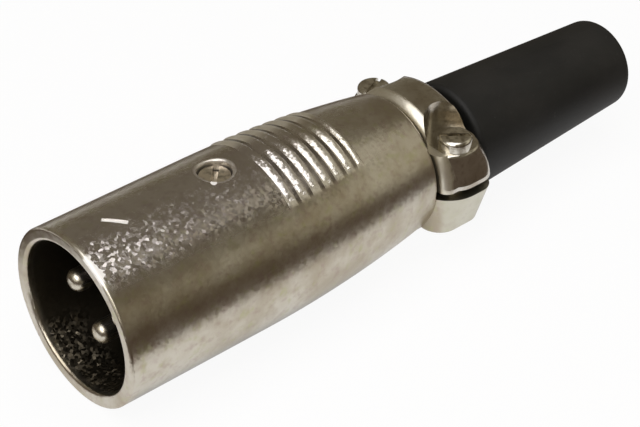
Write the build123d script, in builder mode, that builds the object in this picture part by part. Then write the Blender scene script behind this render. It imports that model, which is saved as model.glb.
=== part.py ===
from build123d import *
import os
from math import cos, radians, sin

os.makedirs("parts", exist_ok=True)

# Male three-contact line plug: a tapered die-cast shell, a contact insert locked by a set screw,
# and a rubber boot held at the tail by a two-screw cable clamp.
# Millimetres. X runs along the axis from the mouth's rim to the boot, Z is up, and the origin is the
# centre of the rim. The boot and the clamp lie on their own axis, a little below the shell's.

# Shell
shell_radius = 9.5
shell_wall = 1.4
rim_round = 0.3
mouth_round = 0.4
mouth_depth = 14.5
straight_length = 18.0
wiring_length = 14.6
tail_wall = 2.0
tail_side_wall = 1.4
tail_round = 0.5
insert_step = 0.8

# Key rib and latch pocket inside the mouth, and the nick in the plating above them
rib_setback = 7.5
rib_width = 2.4
rib_height = 1.3
latch_setback = 4.0
latch_length = 2.4
latch_width = 3.0
latch_depth = 0.6
nick_setback = 5.25
nick_side = -0.5
nick_length = 2.6
nick_width = 0.5
nick_depth = 0.12
nick_angle = -47.0

# Grip pads, one on the top and one on the underside
grip_start = 21.4
ridge_count = 6
ridge_width = 1.17
ridge_gap = 0.43
ridge_height = 0.26
ridge_root = 0.6
land_width = 0.7
top_grip_half_angle = 42.0
top_grip_offset = 0.6
under_grip_half_angle = 33.5
under_ridge_height = 0.3

# Contact insert
insert_length = 9.5
insert_fit = 0.05
insert_bevel = 0.3
keyway_clearance = 0.15

# Contacts
pin_radius = 1.2
stem_fit = 0.02
pin_setback = 2.3
pin_round = 0.95
pin_neck_radius = 1.0
pin_neck_length = 0.3
stem_radius = 1.6
pin_side = 3.7
pin_rise = 1.0
pin_fall = 3.2
cup_length = 4.5
cup_bore = 0.8
cup_depth = 3.6

# Set screw and the ground terminal that it runs in
set_screw_setback = 3.0
set_screw_radius = 1.6
set_screw_fit = 0.03
set_screw_length = 5.0
set_screw_sunk = 0.7
set_screw_slot = 0.6
set_screw_slot_depth = 0.7
set_screw_angle = 45.0
recess_clearance = 0.18
recess_round = 0.22
insert_hole_clearance = 0.1
insert_hole_floor = 0.3
terminal_thickness = 0.8
terminal_margin = 0.6
terminal_depth = 3.1
terminal_fit = 0.04
terminal_front = 0.6
tail_tab_length = 4.5
tail_tab_width = 2.4
tail_tab_hole = 0.5

# Boot
boot_drop = 0.75
cable_radius = 3.05
neck_wall = 1.6
flange_step = 0.75
flange_length = 1.5
flange_clearance = 0.13
shoulder_step = 1.77
shoulder_clearance = 0.3
shoulder_round = 0.6
tip_wall = 2.07
tip_round = 1.2
boot_length = 25.0

# Cable clamp
clamp_length = 7.6
split_gap = 0.8
cradle_fit = 0.05
cradle_wall = 2.65
cradle_ear_setback = 0.45
cradle_ear_margin = 3.0
cradle_ear_front_corner = 4.2
cradle_ear_height = 4.3
cradle_foot_setback = 1.3
cradle_foot_margin = 2.05
cradle_foot_front_corner = 2.3
cradle_rear_corner = 2.1
saddle_clearance = 0.3
saddle_wall = 3.55
arch_front_gap = 0.4
arch_foot_length = 6.85
arch_top_length = 5.1
saddle_rear_round = 1.5
saddle_front_round = 1.2
ear_inner = 2.7
ear_front_gap = 0.8
ear_margin = 2.65
ear_front_corner = 3.0
ear_waist_height = 1.3
ear_waist_margin = 2.6
ear_waist_setback = 0.25
ear_waist_front_corner = 2.95
ear_top_setback = 1.25
ear_top_margin = 1.85
ear_top_front_corner = 2.7
ear_rear_corner = 2.2
ear_round = 0.35
seat_height = 4.1
seat_radius = 3.15
seat_shift = 0.3

# Clamp screws
screw_radius = 1.0
screw_fit = 0.05
screw_web = 0.3
screw_setback = 3.5
screw_grip = 3.5
head_radius = 1.8
head_height = 1.3
head_round = 0.45
head_slot = 0.5
head_slot_depth = 0.6
left_slot_angle = -40.0
right_slot_angle = 25.0

# Stations along the axis
insert_back = mouth_depth + insert_length
cavity_end = insert_back + wiring_length
body_end = cavity_end + tail_wall
clamp_end = body_end + clamp_length
shoulder = clamp_end + shoulder_clearance
boot_end = shoulder + boot_length
set_screw_x = mouth_depth + set_screw_setback

# Radii and levels that follow from the sizes above
mouth_radius = shell_radius - shell_wall
cavity_radius = mouth_radius - insert_step
neck_radius = cable_radius + neck_wall
flange_radius = neck_radius + flange_step
cavity_end_radius = boot_drop + flange_radius + flange_clearance
tail_radius = cavity_end_radius + tail_side_wall
insert_radius = mouth_radius - insert_fit
terminal_level = mouth_radius - terminal_depth
boot_radius = neck_radius + shoulder_step
tip_radius = cable_radius + tip_wall
cradle_bore = neck_radius + cradle_fit
cradle_radius = cradle_bore + cradle_wall
saddle_bore = neck_radius + saddle_clearance
saddle_radius = saddle_bore + saddle_wall
screw_hole = screw_radius + screw_fit
screw_offset = saddle_bore + screw_web + screw_hole
saddle_floor = -boot_drop + split_gap / 2
cradle_top = -boot_drop - split_gap / 2
seat_level = saddle_floor + seat_height
arch_start = body_end + arch_front_gap
ear_front = body_end + ear_front_gap
screw_x = body_end + screw_setback
set_screw_top = shell_radius - set_screw_sunk
recess_radius = set_screw_radius + recess_clearance
terminal_width = 2 * (set_screw_radius + set_screw_fit + terminal_margin)

pin_places = {"pin_1": (-pin_side, pin_rise), "pin_2": (pin_side, pin_rise), "pin_3": (0, -pin_fall)}

boot_plane = Plane(origin=(0, 0, -boot_drop), x_dir=(1, 0, 0), z_dir=(0, -1, 0))
boot_axis = Axis((0, 0, -boot_drop), (1, 0, 0))


def swell_drop(x):
    """How far the tail's outline has come in at x: a parabola that starts level at the end of the straight barrel."""
    run = (x - straight_length) / (body_end - straight_length)
    return (shell_radius - tail_radius) * run**2


def grip_plane(angle, height):
    """A plane through the pad's own axis, at this height, whose Y is the radius at this angle from +Z towards +Y."""
    a = radians(angle)
    return Plane(origin=(0, 0, height), x_dir=(1, 0, 0), z_dir=(0, -cos(a), sin(a)))


def on_both_sides(distance):
    """The two places of a clamp screw, seen from above."""
    return Locations((screw_x, -distance), (screw_x, distance))


def ear_outline(side, level, front, back, margin, front_corner, rear_corner):
    """One level of a clamp ear: a rectangle from the clamp's bore out past the screw, its outer corners round."""
    width = ear_inner + margin
    with BuildSketch(Plane.XY.offset(level), mode=Mode.PRIVATE) as outline:
        with Locations(((front + back) / 2, side * (screw_offset - ear_inner + width / 2))):
            Rectangle(back - front, width)
        outer_corners = outline.vertices().sort_by(Axis.Y)[:2] if side < 0 else outline.vertices().sort_by(Axis.Y)[2:]
        fillet(outer_corners.sort_by(Axis.X)[0], radius=front_corner)
        rear_point = [v for v in outline.vertices() if abs(v.X - back) < 0.01 and side * v.Y > screw_offset + margin - 0.01]
        fillet(rear_point, radius=rear_corner)
    return outline.sketch.faces()[0]


def ear_pair(levels, rounded_end, round_radius):
    """A clamp ear on each side, lofted through the given levels, with a rounded edge at the top or the bottom."""
    with BuildPart(mode=Mode.PRIVATE) as ears:
        for side in (-1, 1):
            loft([ear_outline(side, *level) for level in levels])
        end_faces = ears.faces().filter_by(GeomType.PLANE).group_by(Axis.Z)[rounded_end]
        fillet(end_faces.edges(), radius=round_radius)
    return ears.part


# Shell: mouth, insert seat, wiring space, tail wall, grip pads and the clamp's lower half in one casting
with BuildPart() as shell:
    with BuildSketch(Plane.XY):
        with BuildLine():
            Polyline(
                (body_end, tail_radius),
                (body_end, 0),
                (cavity_end, 0),
                (cavity_end, cavity_end_radius),
                (insert_back, cavity_radius),
                (insert_back, mouth_radius),
                (0, mouth_radius),
                (0, shell_radius),
                (straight_length, shell_radius),
            )
            Bezier(
                (straight_length, shell_radius),
                ((straight_length + body_end) / 2, shell_radius),
                (body_end, tail_radius),
            )
        make_face()
    revolve(axis=Axis.X)
    rim_edges = shell.edges().filter_by(GeomType.CIRCLE).group_by(Axis.X)[0]
    fillet(rim_edges.sort_by(SortBy.LENGTH)[-1], radius=rim_round)
    mouth_edges = shell.edges().filter_by(GeomType.CIRCLE).group_by(Axis.X)[0]
    fillet(mouth_edges.sort_by(SortBy.LENGTH)[0], radius=mouth_round)
    tail_edges = shell.edges().filter_by(GeomType.CIRCLE).group_by(Axis.X)[-1]
    fillet(tail_edges.sort_by(SortBy.LENGTH)[-1], radius=tail_round)

    # Each ridge has a round crest. The top pad's ridges turn about an axis of their own, nearer to the pad, so that
    # they fade towards its two ends
    for side, half_angle, pad_height, height in (
        (0, top_grip_half_angle, top_grip_offset, ridge_height),
        (180, under_grip_half_angle, 0, under_ridge_height),
    ):
        for ridge in range(ridge_count + 1):
            ridge_start = grip_start + ridge * (ridge_width + ridge_gap)
            width = ridge_width if ridge < ridge_count else land_width
            ridge_foot = shell_radius - swell_drop(ridge_start + width / 2) - pad_height
            with BuildSketch(grip_plane(side + half_angle, pad_height)):
                with BuildLine():
                    Polyline(
                        (ridge_start, ridge_foot),
                        (ridge_start, ridge_foot - ridge_root),
                        (ridge_start + width, ridge_foot - ridge_root),
                        (ridge_start + width, ridge_foot),
                    )
                    ThreePointArc(
                        (ridge_start + width, ridge_foot),
                        (ridge_start + width / 2, ridge_foot + height),
                        (ridge_start, ridge_foot),
                    )
                make_face()
            revolve(axis=Axis((0, 0, pad_height), (1, 0, 0)), revolution_arc=2 * half_angle)

    # The underside's crests end level with the barrel, so that the plug lies still
    with Locations((grip_start - ridge_gap / 2, 0, -shell_radius)):
        Box(
            ridge_count * (ridge_width + ridge_gap) + land_width + ridge_gap,
            2 * shell_radius,
            2 * under_ridge_height,
            align=(Align.MIN, Align.CENTER, Align.MAX),
            mode=Mode.SUBTRACT,
        )

    with Locations(((rib_setback + mouth_depth) / 2, 0, mouth_radius - rib_height)):
        Box(
            mouth_depth - rib_setback,
            rib_width,
            rib_height + shell_wall / 2,
            align=(Align.CENTER, Align.CENTER, Align.MIN),
        )

    with BuildSketch(Plane.YZ.offset(body_end - tail_wall / 2)) as cradle_section:
        with Locations((0, -boot_drop)):
            Circle(cradle_radius)
        with Locations((0, cradle_top)):
            Rectangle(4 * cradle_radius, 2 * cradle_radius, align=(Align.CENTER, Align.MIN), mode=Mode.SUBTRACT)
    extrude(amount=clamp_length + tail_wall / 2)
    cradle_ear_front = body_end - tail_round
    cradle_ears = ear_pair(
        [
            (
                cradle_top,
                cradle_ear_front,
                clamp_end - cradle_ear_setback,
                cradle_ear_margin,
                cradle_ear_front_corner,
                cradle_rear_corner,
            ),
            (
                cradle_top - cradle_ear_height,
                cradle_ear_front,
                clamp_end - cradle_foot_setback,
                cradle_foot_margin,
                cradle_foot_front_corner,
                cradle_rear_corner,
            ),
        ],
        0,
        ear_round,
    )
    add(cradle_ears)

    with BuildSketch(Plane.YZ.offset(cavity_end)):
        with Locations((0, -boot_drop)):
            Circle(cradle_bore)
    extrude(amount=tail_wall + clamp_length, mode=Mode.SUBTRACT)
    with BuildSketch(Plane.XY.offset(cradle_top)):
        with on_both_sides(screw_offset):
            Circle(screw_hole)
    extrude(amount=-cradle_radius, mode=Mode.SUBTRACT)

    with BuildSketch(Plane.XY.offset(shell_radius + 1)):
        with Locations((set_screw_x, 0)):
            Circle(recess_radius)
    extrude(amount=-(shell_radius + 1 - cavity_radius / 2), mode=Mode.SUBTRACT)
    fillet(shell.edges(Select.LAST).sort_by(Axis.Z)[-1], radius=recess_round)
    with Locations((latch_setback + latch_length / 2, 0, mouth_radius)):
        Box(latch_length, latch_width, 2 * latch_depth, mode=Mode.SUBTRACT)
    with BuildSketch(Plane.XY.offset(shell_radius - nick_depth)):
        with Locations(Location((nick_setback, nick_side), nick_angle)):
            SlotOverall(nick_length, nick_width)
    extrude(amount=2 * nick_depth, mode=Mode.SUBTRACT)
shell.part.label = "shell"
export_step(shell.part, "parts/shell.step")

# Contact insert: a disc with a keyway for the rib, three contact holes, and a slot and a well on the top
# for the ground terminal and the set screw
with BuildPart() as contact_insert:
    with BuildSketch(Plane.YZ.offset(mouth_depth)):
        Circle(insert_radius)
    extrude(amount=insert_length)
    front_edges = contact_insert.edges().filter_by(GeomType.CIRCLE).group_by(Axis.X)[0]
    chamfer(front_edges, insert_bevel)
    with Locations((mouth_depth, 0, mouth_radius - rib_height - keyway_clearance)):
        Box(
            insert_length,
            rib_width + 2 * keyway_clearance,
            2 * rib_height,
            align=(Align.MIN, Align.CENTER, Align.MIN),
            mode=Mode.SUBTRACT,
        )
    with BuildSketch(Plane.YZ.offset(mouth_depth)):
        with Locations(*pin_places.values()):
            Circle(stem_radius + stem_fit)
    extrude(amount=insert_length, mode=Mode.SUBTRACT)
    with Locations((mouth_depth + terminal_front, 0, terminal_level)):
        Box(
            insert_length,
            terminal_width + 2 * terminal_fit,
            terminal_thickness + terminal_fit,
            align=(Align.MIN, Align.CENTER, Align.MIN),
            mode=Mode.SUBTRACT,
        )
    with BuildSketch(Plane.XY.offset(set_screw_top - set_screw_length - insert_hole_floor)):
        with Locations((set_screw_x, 0)):
            Circle(set_screw_radius + insert_hole_clearance)
    extrude(amount=shell_radius, mode=Mode.SUBTRACT)
contact_insert.part.label = "contact_insert"
export_step(contact_insert.part, "parts/contact_insert.step")

# Contacts: a round-ended pin in front of the insert, a fine neck at its face, and a thicker stem through it
# that ends in a solder cup
for pin_name, (pin_y, pin_z) in pin_places.items():
    with BuildPart() as contact:
        with BuildSketch(Plane.YZ.offset(pin_setback)):
            with Locations((pin_y, pin_z)):
                Circle(pin_radius)
        extrude(amount=mouth_depth - pin_neck_length - pin_setback)
        fillet(contact.edges().sort_by(Axis.X)[0], radius=pin_round)
        with BuildSketch(Plane.YZ.offset(mouth_depth - pin_neck_length)):
            with Locations((pin_y, pin_z)):
                Circle(pin_neck_radius)
        extrude(amount=pin_neck_length)
        with BuildSketch(Plane.YZ.offset(mouth_depth)):
            with Locations((pin_y, pin_z)):
                Circle(stem_radius)
        extrude(amount=insert_length + cup_length)
        with BuildSketch(Plane.YZ.offset(insert_back + cup_length)):
            with Locations((pin_y, pin_z)):
                Circle(cup_bore)
        extrude(amount=-cup_depth, mode=Mode.SUBTRACT)
        with Locations((insert_back + cup_length, pin_y, pin_z)):
            Box(
                cup_depth,
                2 * stem_radius,
                2 * stem_radius,
                align=(Align.MAX, Align.CENTER, Align.MIN),
                mode=Mode.SUBTRACT,
            )
    contact.part.label = pin_name
    export_step(contact.part, f"parts/{pin_name}.step")

# Ground terminal: a tapped strip in the insert's slot, with a solder tab behind it
with BuildPart() as ground_terminal:
    with BuildSketch(Plane.XY.offset(terminal_level)):
        with Locations((mouth_depth + terminal_front, 0)):
            Rectangle(insert_length - terminal_front, terminal_width, align=(Align.MIN, Align.CENTER))
        with Locations((insert_back, 0)):
            Rectangle(tail_tab_length, tail_tab_width, align=(Align.MIN, Align.CENTER))
        with Locations((set_screw_x, 0)):
            Circle(set_screw_radius + set_screw_fit, mode=Mode.SUBTRACT)
        with Locations((insert_back + tail_tab_length - tail_tab_width / 2, 0)):
            Circle(tail_tab_hole, mode=Mode.SUBTRACT)
    extrude(amount=terminal_thickness)
ground_terminal.part.label = "ground_terminal"
export_step(ground_terminal.part, "parts/ground_terminal.step")

# Set screw, its slotted end just under the shell's surface
with BuildPart() as set_screw:
    with BuildSketch(Plane.XY.offset(set_screw_top)):
        with Locations((set_screw_x, 0)):
            Circle(set_screw_radius)
    extrude(amount=-set_screw_length)
    with BuildSketch(Plane.XY.offset(set_screw_top)):
        with Locations(Location((set_screw_x, 0), set_screw_angle)):
            Rectangle(4 * set_screw_radius, set_screw_slot)
    extrude(amount=-set_screw_slot_depth, mode=Mode.SUBTRACT)
set_screw.part.label = "set_screw"
export_step(set_screw.part, "parts/set_screw.step")

# Boot: a flange inside the tail wall, a neck through the clamp and a tapered sleeve behind it
with BuildPart() as boot:
    with BuildSketch(boot_plane):
        with BuildLine():
            Polyline(
                (cavity_end - flange_length, cable_radius),
                (cavity_end - flange_length, flange_radius),
                (cavity_end, flange_radius),
                (cavity_end, neck_radius),
                (shoulder, neck_radius),
                (shoulder, boot_radius),
                (boot_end, tip_radius),
                (boot_end, cable_radius),
                close=True,
            )
        make_face()
    revolve(axis=boot_axis)
    shoulder_edge = boot.edges().filter_by(GeomType.CIRCLE).sort_by(SortBy.RADIUS)[-1]
    fillet(shoulder_edge, radius=shoulder_round)
    tip_edge = boot.edges().filter_by(GeomType.CIRCLE).group_by(Axis.X)[-1].sort_by(SortBy.RADIUS)[-1]
    fillet(tip_edge, radius=tip_round)
boot.part.label = "boot"
export_step(boot.part, "parts/boot.step")

# Clamp saddle: an arch with a screw ear on each side, whose seats are sunk into the arch
with BuildPart() as clamp_saddle:
    with BuildSketch(Plane.YZ.offset(arch_start)):
        with Locations((0, -boot_drop)):
            Circle(saddle_radius)
        with Locations((0, saddle_floor)):
            Rectangle(4 * saddle_radius, 2 * saddle_radius, align=(Align.CENTER, Align.MAX), mode=Mode.SUBTRACT)
    extrude(amount=arch_foot_length)
    with BuildSketch(Plane.XZ):
        with BuildLine():
            Polyline(
                (arch_start, saddle_floor),
                (arch_start + arch_foot_length, saddle_floor),
                (arch_start + arch_top_length, saddle_radius),
                (arch_start, saddle_radius),
                close=True,
            )
        make_face()
    extrude(amount=2 * saddle_radius, both=True, mode=Mode.INTERSECT)
    arch_skin = clamp_saddle.faces().filter_by(GeomType.CYLINDER)[0]
    fillet(arch_skin.edges().sort_by(Axis.X)[-1], radius=saddle_rear_round)
    fillet(clamp_saddle.edges().filter_by(GeomType.CIRCLE).group_by(Axis.X)[0], radius=saddle_front_round)
    saddle_ears = ear_pair(
        [
            (saddle_floor, ear_front, clamp_end, ear_margin, ear_front_corner, ear_rear_corner),
            (
                saddle_floor + ear_waist_height,
                ear_front,
                clamp_end - ear_waist_setback,
                ear_waist_margin,
                ear_waist_front_corner,
                ear_rear_corner,
            ),
            (
                seat_level,
                ear_front,
                clamp_end - ear_top_setback,
                ear_top_margin,
                ear_top_front_corner,
                ear_rear_corner,
            ),
        ],
        -1,
        ear_round,
    )
    add(saddle_ears)
    with BuildSketch(Plane.XY.offset(seat_level)):
        with on_both_sides(screw_offset - seat_shift / 2):
            SlotCenterToCenter(seat_shift, 2 * seat_radius, rotation=90)
    extrude(amount=saddle_radius, mode=Mode.SUBTRACT)
    with BuildSketch(Plane.YZ.offset(body_end)):
        with Locations((0, -boot_drop)):
            Circle(saddle_bore)
    extrude(amount=clamp_length, mode=Mode.SUBTRACT)
    with BuildSketch(Plane.XY.offset(saddle_floor)):
        with on_both_sides(screw_offset):
            Circle(screw_hole)
    extrude(amount=saddle_radius, mode=Mode.SUBTRACT)
clamp_saddle.part.label = "clamp_saddle"
export_step(clamp_saddle.part, "parts/clamp_saddle.step")

# Clamp screws: a slotted, round-edged head on the ear's seat and a shank down into the tapped lower ear
clamp_screws = {
    "clamp_screw_left": (-screw_offset, left_slot_angle),
    "clamp_screw_right": (screw_offset, right_slot_angle),
}
for screw_name, (screw_y, slot_angle) in clamp_screws.items():
    with BuildPart() as clamp_screw:
        with BuildSketch(Plane(origin=(screw_x, screw_y, seat_level), x_dir=(1, 0, 0), z_dir=(0, -1, 0))):
            with BuildLine():
                Polyline(
                    (0, head_height),
                    (0, -(seat_height + split_gap + screw_grip)),
                    (screw_radius, -(seat_height + split_gap + screw_grip)),
                    (screw_radius, 0),
                    (head_radius, 0),
                    (head_radius, head_height),
                    close=True,
                )
            make_face()
        revolve(axis=Axis((screw_x, screw_y, 0), (0, 0, 1)))
        fillet(clamp_screw.edges().filter_by(GeomType.CIRCLE).group_by(Axis.Z)[-1], radius=head_round)
        with BuildSketch(Plane.XY.offset(seat_level + head_height)):
            with Locations(Location((screw_x, screw_y), slot_angle)):
                Rectangle(4 * head_radius, head_slot)
        extrude(amount=-head_slot_depth, mode=Mode.SUBTRACT)
    clamp_screw.part.label = screw_name
    export_step(clamp_screw.part, f"parts/{screw_name}.step")
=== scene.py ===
import math

import bpy
import numpy as np
from mathutils import Matrix, Vector


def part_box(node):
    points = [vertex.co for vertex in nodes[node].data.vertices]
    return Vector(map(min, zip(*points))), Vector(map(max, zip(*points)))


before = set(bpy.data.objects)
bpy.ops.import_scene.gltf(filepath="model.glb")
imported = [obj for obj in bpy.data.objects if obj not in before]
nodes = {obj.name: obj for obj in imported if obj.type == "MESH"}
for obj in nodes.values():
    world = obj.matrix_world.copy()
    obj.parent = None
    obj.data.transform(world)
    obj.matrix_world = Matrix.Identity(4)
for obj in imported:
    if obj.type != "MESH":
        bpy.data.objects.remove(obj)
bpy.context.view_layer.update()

# Male audio line plug, lying on a pale table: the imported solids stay, and get their plated, moulded and rubber
# finishes here. Lengths are in metres, X runs from the mouth to the boot, Z is up.

MM = 0.001

# Places that the finishes need, the same as the solids'
OUTER_RADIUS, INNER_RADIUS = 9.5 * MM, 8.1 * MM
STRAIGHT_LENGTH = 18.0 * MM
BODY_END = 40.6 * MM
TAPER = 1.82 * MM
RECESS_X = 17.5 * MM
GRIP_START, GRIP_END, RIDGE_PITCH = 21.4 * MM, 31.7 * MM, 1.6 * MM
NICK_X, NICK_Y, NICK_TURN = 5.25 * MM, -0.5 * MM, math.radians(-47)
NICK_LENGTH, NICK_WIDTH = 2.6 * MM, 0.5 * MM
SCREW_X, SCREW_Y = 44.1 * MM, 6.3 * MM
PLUG_MIDDLE = 37 * MM
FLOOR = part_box("shell")[0].z

# The painted glint beside the recess, and how strongly the table glows towards the camera and the reflections
GLINT_X, GLINT_Y, GLINT_RADIUS = 16.15 * MM, -1.6 * MM, 0.32 * MM
SEEN_GLOW, MIRRORED_GLOW = 0.93, 0.62


# Shader maths

NOISE_ROUGHNESS = 0.55
WHITE = (1.0, 1.0, 1.0, 1.0)
BLACK = (0.0, 0.0, 0.0, 1.0)


class Value:
    """A shader socket. Ordinary arithmetic on it adds Math nodes."""

    def __init__(self, finish, socket):
        self.finish = finish
        self.socket = socket

    def math(self, operation, *terms):
        return self.finish.node("ShaderNodeMath", {"operation": operation}, dict(enumerate(terms)))

    def __add__(self, other):
        return self.math("ADD", self, other)

    def __sub__(self, other):
        return self.math("SUBTRACT", self, other)

    def __mul__(self, other):
        return self.math("MULTIPLY", self, other)

    def __truediv__(self, other):
        return self.math("DIVIDE", self, other)

    def __pow__(self, other):
        return self.math("POWER", self, other)

    def __rsub__(self, other):
        return self.math("SUBTRACT", other, self)

    def __neg__(self):
        return self.math("MULTIPLY", self, -1.0)

    def __abs__(self):
        return self.math("ABSOLUTE", self)

    def __mod__(self, other):
        return self.math("FLOORED_MODULO", self, other)

    __radd__ = __add__
    __rmul__ = __mul__


class Finish:
    """A procedural material on Object coordinates, in metres."""

    def __init__(self, name, **constants):
        self.material = bpy.data.materials.new(name)
        self.material.use_nodes = True
        self.tree = self.material.node_tree
        self.shader = self.tree.nodes["Principled BSDF"]
        for socket, value in constants.items():
            self.shader.inputs[socket.replace("_", " ")].default_value = value
        self.place = self.node("ShaderNodeTexCoord", out="Object")
        xyz = self.tree.nodes.new("ShaderNodeSeparateXYZ")
        self.tree.links.new(self.place.socket, xyz.inputs[0])
        self.x, self.y, self.z = (Value(self, s) for s in xyz.outputs)

    def node(self, kind, settings=None, inputs=None, out=0):
        """Adds a node of this kind, sets its settings, then fills or links its inputs, and returns one output."""
        made = self.tree.nodes.new(kind)
        for key, setting in (settings or {}).items():
            setattr(made, key, setting)
        for key, value in (inputs or {}).items():
            if isinstance(value, Value):
                self.tree.links.new(value.socket, made.inputs[key])
            else:
                made.inputs[key].default_value = value
        return Value(self, made.outputs[out])

    def noise(self, size, detail=3.0, stretch=None):
        """Noise from 0 to 1 whose largest features are about this size, in metres."""
        where = self.place
        if stretch:
            where = self.node("ShaderNodeMapping", {}, {"Vector": where, "Scale": stretch})
        return self.node("ShaderNodeTexNoise", {}, {"Vector": where, "Scale": 1.0 / size, "Detail": detail,
                                                    "Roughness": NOISE_ROUGHNESS})

    def cells(self, size, out="Distance"):
        """Voronoi cells of about this size, in metres."""
        return self.node("ShaderNodeTexVoronoi", {}, {"Vector": self.place, "Scale": 1.0 / size}, out=out)

    def step(self, value, low, high, start=0.0, end=1.0):
        """A smooth step: start where the value is at low or under, end where it is at high or over."""
        return self.node("ShaderNodeMapRange", {"interpolation_type": "SMOOTHSTEP"},
                         {"Value": value, "From Min": low, "From Max": high, "To Min": start, "To Max": end})

    def fall(self, value, low, high):
        """A smooth step down: 1 where the value is at low or under, 0 where it is at high or over."""
        return self.step(value, low, high, 1.0, 0.0)

    def step_line(self, value, low, high):
        """From 0 where the value is at low or under to 1 where it is at high or over, in a straight line."""
        return self.node("ShaderNodeMapRange", {}, {"Value": value, "From Min": low, "From Max": high})

    def mix(self, factor, first, second):
        """The first colour where the factor is 0, the second where it is 1."""
        return self.node("ShaderNodeMix", {"data_type": "RGBA"}, {0: factor, 6: first, 7: second}, out=2)

    def mottle(self, skin, spots, low, high, strength, color):
        """The skin with spots of a colour: none where the noise is at low or under, this strong where it is at high
        or over."""
        return self.mix(self.step(spots, low, high, 0.0, strength), skin, color)

    def length(self, one, other):
        """The length of a line that runs this far one way and this far at a right angle to it."""
        return (one * one + other * other) ** 0.5

    def radius(self):
        """The distance from the plug's axis."""
        return self.length(self.y, self.z)

    def bump(self, height, distance, strength=1.0, under=None):
        """Relief from a height of 0 to 1 over this distance, in metres, on top of another relief."""
        inputs = {"Height": height, "Distance": distance, "Strength": strength}
        if under is not None:
            inputs["Normal"] = under
        return self.node("ShaderNodeBump", {}, inputs)

    def facets(self, size, tilt):
        """The surface's normal with every cell of about this size, in metres, tilted its own way: the cell's random
        colour, less its mean, times the tilt, added to the normal."""
        lean = self.node("ShaderNodeVectorMath", {"operation": "SUBTRACT"},
                         {0: self.cells(size, "Color"), 1: (0.5, 0.5, 0.5)})
        return self.leaning(lean, tilt)

    def leaning(self, lean, amount):
        """The surface's normal leant towards a direction by this amount."""
        lean = self.node("ShaderNodeVectorMath", {"operation": "SCALE"}, {0: lean, "Scale": amount})
        normal = self.node("ShaderNodeNewGeometry", out="Normal")
        tilted = self.node("ShaderNodeVectorMath", {"operation": "ADD"}, {0: normal, 1: lean})
        return self.node("ShaderNodeVectorMath", {"operation": "NORMALIZE"}, {0: tilted})

    def wear(self, **links):
        """Links values to the Principled shader's sockets."""
        for socket, value in links.items():
            self.tree.links.new(value.socket, self.shader.inputs[socket.replace("_", " ")])


def rgb(r, g, b):
    """A colour given as it is seen, in 0 to 255, turned to linear light."""
    seen = np.array((r, g, b)) / 255.0
    linear = np.where(seen <= 0.04045, seen / 12.92, ((seen + 0.055) / 1.055) ** 2.4)
    return (*map(float, linear), 1.0)


# Finishes

def inner_wall(f, recess):
    """1 on the walls inside the shell, behind the rim and ahead of the clamp, but not in the set screw's recess."""
    run = f.step_line(f.x, STRAIGHT_LENGTH, BODY_END)
    outline = f.radius() + run * run * TAPER
    bore = f.fall(outline, INNER_RADIUS + 0.2 * MM, INNER_RADIUS + 0.5 * MM)
    behind_rim = f.step(f.x, 0.3 * MM, 1.2 * MM)
    ahead_of_clamp = f.fall(f.x, BODY_END - 1.0 * MM, BODY_END - 0.5 * MM)
    return bore * behind_rim * (1.0 - recess) * ahead_of_clamp


def grip_ridges(f, inside):
    """The worn crests of the grip ridges, which also get a painted highlight, and the grooves between them, which get
    painted shade, each 1 where it is strongest.
    """
    upper, lower = f.step(f.z, 6.5 * MM, 6.9 * MM), f.step(-f.z, 7.4 * MM, 7.8 * MM)
    pad = (f.step(f.x, GRIP_START - 0.1 * MM, GRIP_START) * f.fall(f.x, GRIP_END, GRIP_END + 0.1 * MM)
           * (upper + lower) * (1.0 - inside))
    flank = f.step(abs(f.y), 0.3 * MM, 2.6 * MM)
    phase = (f.x - GRIP_START) % RIDGE_PITCH
    crest = pad * flank * f.fall(phase, 1.0 * MM, 1.1 * MM)
    groove_shade = pad * flank * f.step(phase, 1.08 * MM, 1.2 * MM) * f.fall(phase, 1.55 * MM, 1.6 * MM)
    return crest, groove_shade


def painted_glints(f):
    """1 on the painted glints, near white: one on the nick, a ragged one on the near side of the rim and a spot beside
    the recess.
    """
    ahead, aside = f.x - NICK_X, f.y - NICK_Y
    along_nick = ahead * math.cos(NICK_TURN) + aside * math.sin(NICK_TURN)
    across_nick = aside * math.cos(NICK_TURN) - ahead * math.sin(NICK_TURN)
    nick_glint = (f.fall(abs(along_nick), NICK_LENGTH / 2 - 0.1 * MM, NICK_LENGTH / 2 + 0.05 * MM)
            * f.fall(abs(across_nick), NICK_WIDTH / 2 - 0.05 * MM, NICK_WIDTH / 2 + 0.03 * MM)
            * f.step(f.z, OUTER_RADIUS - 0.5 * MM, OUTER_RADIUS - 0.4 * MM))
    ragged_edge = f.x + f.noise(0.7 * MM, 3.0) * 1.6 * MM
    near_side = f.step(-f.y, 2.5 * MM, 3.0 * MM) * f.fall(-f.y, 5.3 * MM, 5.9 * MM)
    rim_glint = (f.fall(ragged_edge, 1.45 * MM, 1.55 * MM) * near_side * f.step(f.z, 0.0, 1.0 * MM)
                * f.step(f.radius(), OUTER_RADIUS - 0.4 * MM, OUTER_RADIUS - 0.3 * MM))
    from_glint = f.length(f.x - GLINT_X, f.y - GLINT_Y)
    recess_glint = (f.fall(from_glint, GLINT_RADIUS - 0.04 * MM, GLINT_RADIUS + 0.04 * MM)
                   * f.step(f.z, OUTER_RADIUS - 0.6 * MM, OUTER_RADIUS - 0.5 * MM))
    return nick_glint + rim_glint + recess_glint


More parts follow.
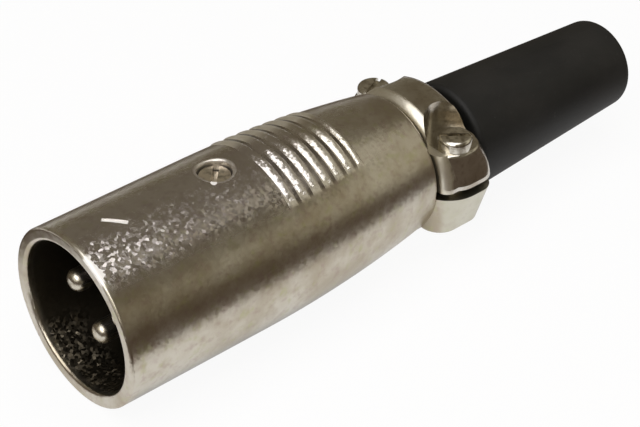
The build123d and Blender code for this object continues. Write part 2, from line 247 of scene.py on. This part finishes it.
def satin_casting():
    """The shell: satin nickel plate on a blasted die casting. It has mottled tarnish, fine facets that sparkle on the
    near upper side under a paler, cooler painted sheen, a dull bore darkened by painted shade, worn ridges with
    painted highlights on the crests and painted shade in the grooves, a recess paled by painted light, a clamp half
    paled by a painted reflection, painted shade on the underside, and painted glints, near white and barely metallic,
    on a nick, on the rim and beside the recess."""
    f = Finish("satin casting", Metallic=1.0)
    recess = f.fall(f.length(f.x - RECESS_X, f.y), 2.0 * MM, 2.2 * MM) * f.step(f.z, 7.0 * MM, 7.5 * MM)
    inside = inner_wall(f, recess)
    crest, groove_shade = grip_ridges(f, inside)
    glints = painted_glints(f)
    near_upper_side = f.fall(f.y, 1.0 * MM, 3.0 * MM) * f.fall(-f.y, 5.2 * MM, 7.2 * MM) * f.step(f.z, 0.0, 3.0 * MM)
    left_behind = 0.15
    grain_and_sheen = (near_upper_side * f.step(f.x, 0.3 * MM, 0.8 * MM)
             * f.step(f.x, GRIP_START + 0.6 * MM, GRIP_END - 0.7 * MM, 1.0, left_behind))
    speckle = inside * f.fall(f.x, 3.5 * MM, 6.0 * MM) * f.step(-f.z, 4.2 * MM, 6.0 * MM)
    clamp_half = f.step(f.x, BODY_END + 0.2 * MM, BODY_END + 0.8 * MM)
    under = f.step(-f.z, 3.4 * MM, 6.6 * MM) * f.step(f.x, 0.6 * MM, 1.4 * MM) * f.fall(f.x, 33 * MM, 36 * MM)

    tarnish = f.noise(6 * MM, 4.0)
    skin = f.mix(f.step(tarnish, 0.35, 0.68), rgb(204, 198, 185), rgb(177, 167, 148))
    skin = f.mottle(skin, f.noise(1.6 * MM, 3.0), 0.45, 0.75, 0.35, rgb(158, 142, 118))
    skin = f.mottle(skin, f.noise(0.8 * MM, 2.0), 0.5, 0.75, 0.4, rgb(172, 152, 148))
    skin = f.mottle(skin, f.noise(1.1 * MM, 2.0, stretch=(-1.0, 1.0, 1.0)), 0.52, 0.76, 0.45, rgb(176, 176, 130))
    for share, color in [
        # Painted shade: the bore inside the shell is darker
        (inside, rgb(100, 93, 80)),
        # Painted shade: the grooves between the ridges are darker
        (groove_shade * 0.7, rgb(74, 64, 50)),
        # Painted highlight: the ridge crests are paler
        (crest * 0.85, rgb(240, 235, 222)),
        # Painted light: the set screw's recess and a ring round it are paler, against the recess's shade and as a
        # highlight on its rim
        (recess * 0.8, rgb(232, 226, 210)),
        # Painted highlights: the glints are near white, and barely metallic
        (glints, rgb(250, 248, 244)),
        # Painted sheen: the near upper side, where the light falls, is paler and cooler
        (grain_and_sheen * (1.0 - glints) * 0.45, rgb(198, 193, 202)),
        # Painted reflection: the clamp half is paler, as if it mirrored the pale table
        (clamp_half * 0.5, rgb(210, 210, 195)),
        # Painted shade: the underside is darker
        (under * (1.0 - inside) * 0.8, rgb(130, 129, 122)),
    ]:
        skin = f.mix(share, skin, color)

    rough = 0.26 + tarnish * 0.06 + inside * 0.1 - grain_and_sheen * 0.09 + crest * 0.14 + recess * 0.2
    tilt = 0.05 + grain_and_sheen * 0.13 + speckle * 0.6 + crest * 0.22
    relief = f.bump(f.noise(0.9 * MM, 2.0), 0.02 * MM, 0.2, f.facets(0.32 * MM, tilt))
    relief = f.bump(crest * f.noise(0.5 * MM, 2.0), 0.12 * MM, 0.6, relief)
    relief = f.bump(f.noise(0.22 * MM, 2.0), 0.006 * MM, 0.4, relief)
    f.wear(Base_Color=skin, Roughness=rough, Metallic=1.0 - glints * 0.9, Normal=relief)
    return f.material


def smooth_casting():
    """The clamp saddle: the same plate over a smoother, slightly uneven casting, nearly mirror bright and faintly
    mottled. Its front edge is duller, and paler with a painted reflection, and the feet of its ears draw in."""
    f = Finish("smooth casting", Metallic=1.0)
    tarnish = f.noise(3.5 * MM, 4.0)
    specks = f.noise(0.5 * MM, 3.0)
    skin = f.mix(f.step(tarnish, 0.35, 0.7), rgb(206, 202, 193), rgb(176, 167, 152))
    skin = f.mottle(skin, specks, 0.5, 0.75, 0.5, rgb(150, 139, 120))
    front_edge = f.fall(f.x, 41.8 * MM, 42.3 * MM)
    # Painted reflection: the front edge is paler
    skin = f.mix(front_edge * 0.6, skin, rgb(240, 234, 216))
    foot = f.step(abs(f.y), 7.6 * MM, 8.4 * MM) * f.step(f.z, 0.0, 0.25 * MM) * f.fall(f.z, 1.2 * MM, 3.2 * MM)
    upwards = (0.0, 0.0, 1.0)
    drawn_in = f.leaning(upwards, foot * 0.24)
    relief = f.bump(f.noise(1.2 * MM, 2.0), 0.05 * MM, 0.6, drawn_in)
    f.wear(Base_Color=skin, Roughness=0.13 + tarnish * 0.1 + front_edge * 0.2,
           Normal=f.bump(specks, 0.006 * MM, 0.4, relief))
    return f.material


def bright_plate(name, color, roughness, axis_x, axis_y):
    """Bright plate on a turned screw: fine rings about its own upright axis, and greyer worn spots."""
    f = Finish(name, Metallic=1.0)
    rings = f.node("ShaderNodeTexNoise", {"noise_dimensions": "1D"},
                   {"W": f.length(f.x - axis_x, f.y - axis_y) / (0.09 * MM), "Detail": 2.0})
    wear = f.noise(0.7 * MM, 3.0)
    skin = f.mix(f.step(wear, 0.4, 0.75), color, rgb(150, 142, 126))
    f.wear(Base_Color=skin, Roughness=roughness + wear * 0.1, Normal=f.bump(rings, 0.006 * MM, 0.35))
    return f.material


def contact_plate():
    """Bright plate on the turned contacts, with faint rings round each and wipe marks along it."""
    f = Finish("contact plate", Metallic=1.0)
    rings = f.noise(0.12 * MM, 1.0, stretch=(1.0, 0.05, 0.05))
    wipes = f.noise(0.4 * MM, 3.0, stretch=(0.08, 1.0, 1.0))
    skin = f.mix(f.step(wipes, 0.4, 0.75), rgb(206, 200, 186), rgb(168, 158, 138))
    f.wear(Base_Color=skin, Roughness=0.22 + wipes * 0.12, Normal=f.bump(rings, 0.004 * MM, 0.3))
    return f.material


def tinned_strip():
    """Tinned brass strip, dull and slightly brushed along its length."""
    f = Finish("tinned strip", Metallic=1.0)
    brush = f.noise(0.2 * MM, 2.0, stretch=(0.08, 1.0, 1.0))
    skin = f.mix(f.step(brush, 0.35, 0.7), rgb(206, 196, 166), rgb(170, 156, 120))
    f.wear(Base_Color=skin, Roughness=0.3 + brush * 0.12, Normal=f.bump(brush, 0.004 * MM, 0.4))
    return f.material


def moulded_plastic():
    """Black moulded insert: fine mould texture and slightly greyer high spots."""
    f = Finish("moulded plastic", Metallic=0.0)
    texture = f.noise(0.25 * MM, 3.0)
    skin = f.mix(f.step(texture, 0.4, 0.75), rgb(24, 23, 22), rgb(40, 38, 36))
    f.wear(Base_Color=skin, Roughness=0.42 + texture * 0.15, Normal=f.bump(texture, 0.01 * MM, 0.4))
    return f.material


def soft_rubber():
    """Black rubber boot: matte, finely pitted, with a dusty bloom and faint handling marks along it."""
    f = Finish("soft rubber", Metallic=0.0, Specular_IOR_Level=0.3)
    bloom = f.noise(5 * MM, 4.0, stretch=(0.6, 1.0, 1.0))
    dust = f.noise(0.45 * MM, 3.0)
    skin = f.mix(f.step(bloom, 0.35, 0.72), rgb(25, 25, 24), rgb(35, 34, 32))
    skin = f.mottle(skin, dust, 0.62, 0.85, 0.3, rgb(70, 69, 66))
    pits = f.cells(0.35 * MM)
    relief = f.bump(f.noise(1.5 * MM, 2.0), 0.02 * MM, 0.4)
    f.wear(Base_Color=skin, Roughness=0.52 + bloom * 0.16, Normal=f.bump(pits, 0.015 * MM, 0.3, relief))
    return f.material


screw_color, screw_roughness = rgb(214, 209, 198), 0.14
set_screw_color, set_screw_roughness = rgb(214, 204, 186), 0.3
finishes = {
    "shell": satin_casting(),
    "clamp_saddle": smooth_casting(),
    "clamp_screw_left": bright_plate("clamp screw left plate", screw_color, screw_roughness, SCREW_X, -SCREW_Y),
    "clamp_screw_right": bright_plate("clamp screw right plate", screw_color, screw_roughness, SCREW_X, SCREW_Y),
    "set_screw": bright_plate("set screw plate", set_screw_color, set_screw_roughness, RECESS_X, 0.0),
    "boot": soft_rubber(),
    "contact_insert": moulded_plastic(),
    "ground_terminal": tinned_strip(),
}
contact_finish = contact_plate()
for name, node in nodes.items():
    node.material_slots[0].material = finishes.get(name, contact_finish)


# Table, reflected surroundings, lamps and camera

def add_mesh(name, corners, faces):
    """A mesh object of these corners and faces, at the origin."""
    mesh = bpy.data.meshes.new(name)
    mesh.from_pydata(np.asarray(corners, dtype=float).tolist(), [], faces)
    made = bpy.data.objects.new(name, mesh)
    bpy.context.scene.collection.objects.link(made)
    return made


def table_top():
    """A pale, plain table that glows towards the camera and the reflections, and still shows the shadow."""
    reach = 3.0
    table = add_mesh("table", [(-reach, -reach, FLOOR), (reach, -reach, FLOOR), (reach, reach, FLOOR),
                               (-reach, reach, FLOOR)], [(0, 1, 2, 3)])
    f = Finish("table paper", Roughness=0.9, Specular_IOR_Level=0.1)
    f.wear(Base_Color=f.mix(f.noise(40 * MM, 3.0), rgb(250, 250, 250), rgb(247, 247, 247)))
    seen = f.node("ShaderNodeLightPath", out="Is Camera Ray")
    mirrored = f.node("ShaderNodeLightPath", out="Is Glossy Ray")
    lit = Value(f, f.shader.outputs[0])
    glow = f.node("ShaderNodeEmission", {}, {"Color": WHITE, "Strength": 1.0})
    paper = f.node("ShaderNodeMixShader", {}, {0: seen * SEEN_GLOW + mirrored * MIRRORED_GLOW, 1: lit, 2: glow})
    f.tree.links.new(paper.socket, f.tree.nodes["Material Output"].inputs["Surface"])
    table.data.materials.append(f.material)


def unseen(stage_piece):
    """Marks a card that only the reflections show."""
    stage_piece.visible_camera = stage_piece.visible_shadow = stage_piece.visible_diffuse = False


def glow_finish(name):
    """A black finish that reflects nothing and glows in its emission colour."""
    return Finish(name, Roughness=1.0, Specular_IOR_Level=0.0, Base_Color=BLACK, Emission_Strength=1.0)


def table_edge(name, half_length, half_width, aside, low, high, color):
    """The dark room just past the table's edge: an upright wall along an oval. At each even turn its foot lies the
    half-length times the cosine ahead of the plug's middle and the half-width times the sine to the side, all moved
    aside by this much, and the wall runs from one height to another."""
    parts = 96
    turns = np.linspace(0.0, 2 * np.pi, parts + 1)[:-1]
    oval = np.stack([PLUG_MIDDLE + half_length * np.cos(turns), aside + half_width * np.sin(turns)], -1)
    corners = np.concatenate([np.column_stack([oval, np.full(parts, height)]) for height in (low, high)])
    part = np.arange(parts)
    beside = (part + 1) % parts
    faces = np.stack([part, beside, parts + beside, parts + part], -1).tolist()
    wall = add_mesh(name, corners, faces)
    f = glow_finish(name)
    f.shader.inputs["Emission Color"].default_value = color
    wall.data.materials.append(f.material)
    unseen(wall)


def room_walls(name, reach, base, patches):
    """What the metal reflects above the table: a dome whose points lie at this radius and at even steps of turn and of
    height angle, from just under the table to near the zenith, with a lid. Its colour is the base, with soft round
    patches, each given by its direction, the cosines of its outer and inner half-angles, and its colour."""
    parts, levels = 64, 20
    lowest, highest = -0.1, np.pi / 2 - 0.02
    turns, heights = np.meshgrid(np.linspace(0, 2 * np.pi, parts + 1)[:-1], np.linspace(lowest, highest, levels))
    corners = reach * np.stack([np.cos(heights) * np.cos(turns), np.cos(heights) * np.sin(turns), np.sin(heights)], -1)
    level, part = np.meshgrid(np.arange(levels - 1), np.arange(parts), indexing="ij")
    beside = (part + 1) % parts
    faces = np.stack([level * parts + part, (level + 1) * parts + part, (level + 1) * parts + beside,
                      level * parts + beside], -1).reshape(-1, 4).tolist()
    lid = ((levels - 1) * parts + np.arange(parts)[::-1]).tolist()
    dome = add_mesh(name, corners.reshape(-1, 3), faces + [lid])
    f = glow_finish(name)
    color = base
    for direction, outer, inner, patch in patches:
        x, y, z = (c / reach for c in Vector(direction).normalized())
        color = f.mix(f.step(f.x * x + f.y * y + f.z * z, outer, inner), color, patch)
    f.wear(Emission_Color=color)
    dome.data.materials.append(f.material)
    unseen(dome)


def lamp(name, place, target, size, power, color):
    """A rectangular soft lamp at a place, facing a target."""
    light = bpy.data.lights.new(name, "AREA")
    light.shape = "RECTANGLE"
    light.size, light.size_y = size
    light.energy = power
    light.color = color
    made = bpy.data.objects.new(name, light)
    made.location = Vector(place)
    made.rotation_euler = (Vector(target) - Vector(place)).to_track_quat("-Z", "Y").to_euler()
    bpy.context.scene.collection.objects.link(made)


def room(dim_color):
    """A dim, warm room that lights the part, and a white one behind it for the camera alone."""
    world = bpy.data.worlds.new("room")
    bpy.context.scene.world = world
    world.use_nodes = True
    tree = world.node_tree
    dim, white = tree.nodes["Background"], tree.nodes.new("ShaderNodeBackground")
    dim.inputs["Color"].default_value = dim_color
    white.inputs["Color"].default_value = WHITE
    rays, either = tree.nodes.new("ShaderNodeLightPath"), tree.nodes.new("ShaderNodeMixShader")
    tree.links.new(rays.outputs["Is Camera Ray"], either.inputs[0])
    tree.links.new(dim.outputs[0], either.inputs[1])
    tree.links.new(white.outputs[0], either.inputs[2])
    tree.links.new(either.outputs[0], tree.nodes["World Output"].inputs["Surface"])


table_top()
table_edge("table edge", half_length=58 * MM, half_width=30.5 * MM, aside=3 * MM, low=FLOOR + 0.5 * MM,
           high=FLOOR + 13.6 * MM, color=(0.11, 0.083, 0.061, 1.0))
bright_wall = ((0.74, -0.47, 0.48), 0.80, 0.985, (0.62, 0.58, 0.47, 1.0))
dark_gap = ((0.42, -0.60, 0.68), 0.92, 0.985, (0.13, 0.11, 0.075, 1.0))
window = ((-0.95, -0.05, 0.30), 0.80, 0.97, (0.75, 0.72, 0.64, 1.0))
room_walls("room walls", reach=0.9, base=(0.19, 0.165, 0.12, 1.0), patches=[bright_wall, dark_gap, window])
room(dim_color=(0.24, 0.205, 0.17, 1.0))
lamp("overhead box", place=(-0.235, -0.05, 0.40), target=(-0.235, -0.05, 0.0), size=(0.73, 0.36), power=1.9,
     color=(0.98, 0.98, 1.0))
lamp("side lamp", place=(-0.30, -0.22, 0.30), target=(0.03, 0.0, 0.0), size=(0.25, 0.25), power=0.5,
     color=(1.0, 0.99, 0.97))

# The camera stands where the photograph's outlines put it, level from side to side
camera_place = (-73.94 * MM, -122.04 * MM, 116.21 * MM)
forward = Vector((0.5250, 0.6105, -0.5930)).normalized()
right = forward.cross(Vector((0, 0, 1))).normalized()
up = right.cross(forward)
camera = bpy.data.objects.new("camera", bpy.data.cameras.new("camera"))
camera.data.sensor_width, camera.data.lens, camera.data.clip_start = 36.0, 107.72, 10 * MM
camera.matrix_world = Matrix.Translation(camera_place) @ Matrix((right, up, -forward)).transposed().to_4x4()
bpy.context.scene.collection.objects.link(camera)
bpy.context.scene.camera = camera
bpy.context.scene.view_settings.view_transform = "Standard"
